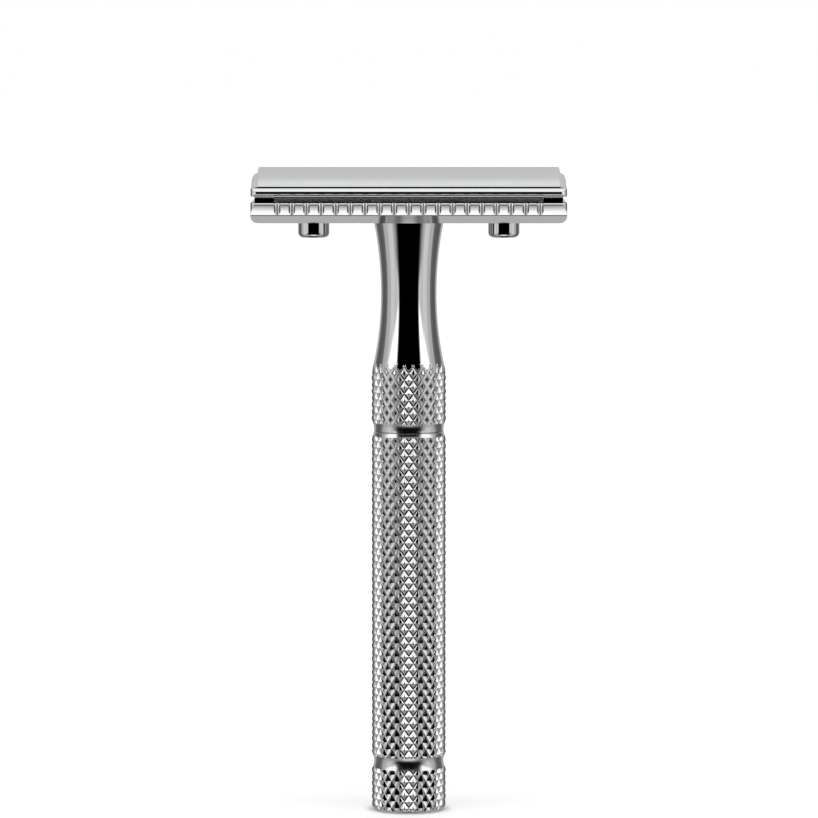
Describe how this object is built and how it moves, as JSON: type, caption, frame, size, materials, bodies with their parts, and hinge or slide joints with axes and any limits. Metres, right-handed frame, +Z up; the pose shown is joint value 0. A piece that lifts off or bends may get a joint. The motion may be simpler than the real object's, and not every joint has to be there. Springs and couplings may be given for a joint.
{
  "type": "safety razor",
  "caption": "Double-edge safety razor with an arched cap, notched safety bars, flared neck and long knurled handle that twists to lift the cap.",
  "frame": {"origin": "on the handle's axis, at the flat foot of the end knob that the razor stands on", "axes": "+Z up the handle to the cap, X along the blade's cutting edges, Y across the head"},
  "size_m": [0.0434, 0.0252, 0.0902],
  "materials": {
    "chrome_plate": "polished chrome plate",
    "stainless": "turned stainless steel",
    "blade_steel": "rolled strip with ground edges",
    "brass": "turned brass"
  },
  "bodies": {
    "frame": {"base_plate": "chrome_plate", "plate_nut": "brass", "guide_sleeve_left": "chrome_plate", "guide_sleeve_right": "chrome_plate", "neck": "chrome_plate", "neck_bush": "brass", "thrust_washer": "stainless", "spring_washer": "stainless"},
    "grip": {"grip_barrel": "chrome_plate", "end_knob": "chrome_plate", "tie_rod": "stainless", "draw_nut": "brass"},
    "cap": {"cap": "chrome_plate", "cap_stud": "stainless", "guide_pin_left": "stainless", "guide_pin_right": "stainless"},
    "blade": {"blade": "blade_steel"}
  },
  "joints": [
    {"name": "grip_turn", "type": "hinge", "parent": "frame", "child": "grip", "pos_m": [0, 0, 0], "axis": [0, 0, -1], "range_deg": [0, 2520]},
    {"name": "cap_lift", "type": "slide", "parent": "frame", "child": "cap", "axis": [0, 0, 1], "range_m": [0, 0.0056]},
    {"name": "blade_lift", "type": "slide", "parent": "frame", "child": "blade", "axis": [0, 0, 1], "range_m": [0, 0.0028]}
  ],
  "couplings": [
    {"joint": "cap_lift", "follows": "grip_turn", "m_per_rad": 0.00012732},
    {"joint": "blade_lift", "follows": "grip_turn", "m_per_rad": 0.00006366}
  ]
}
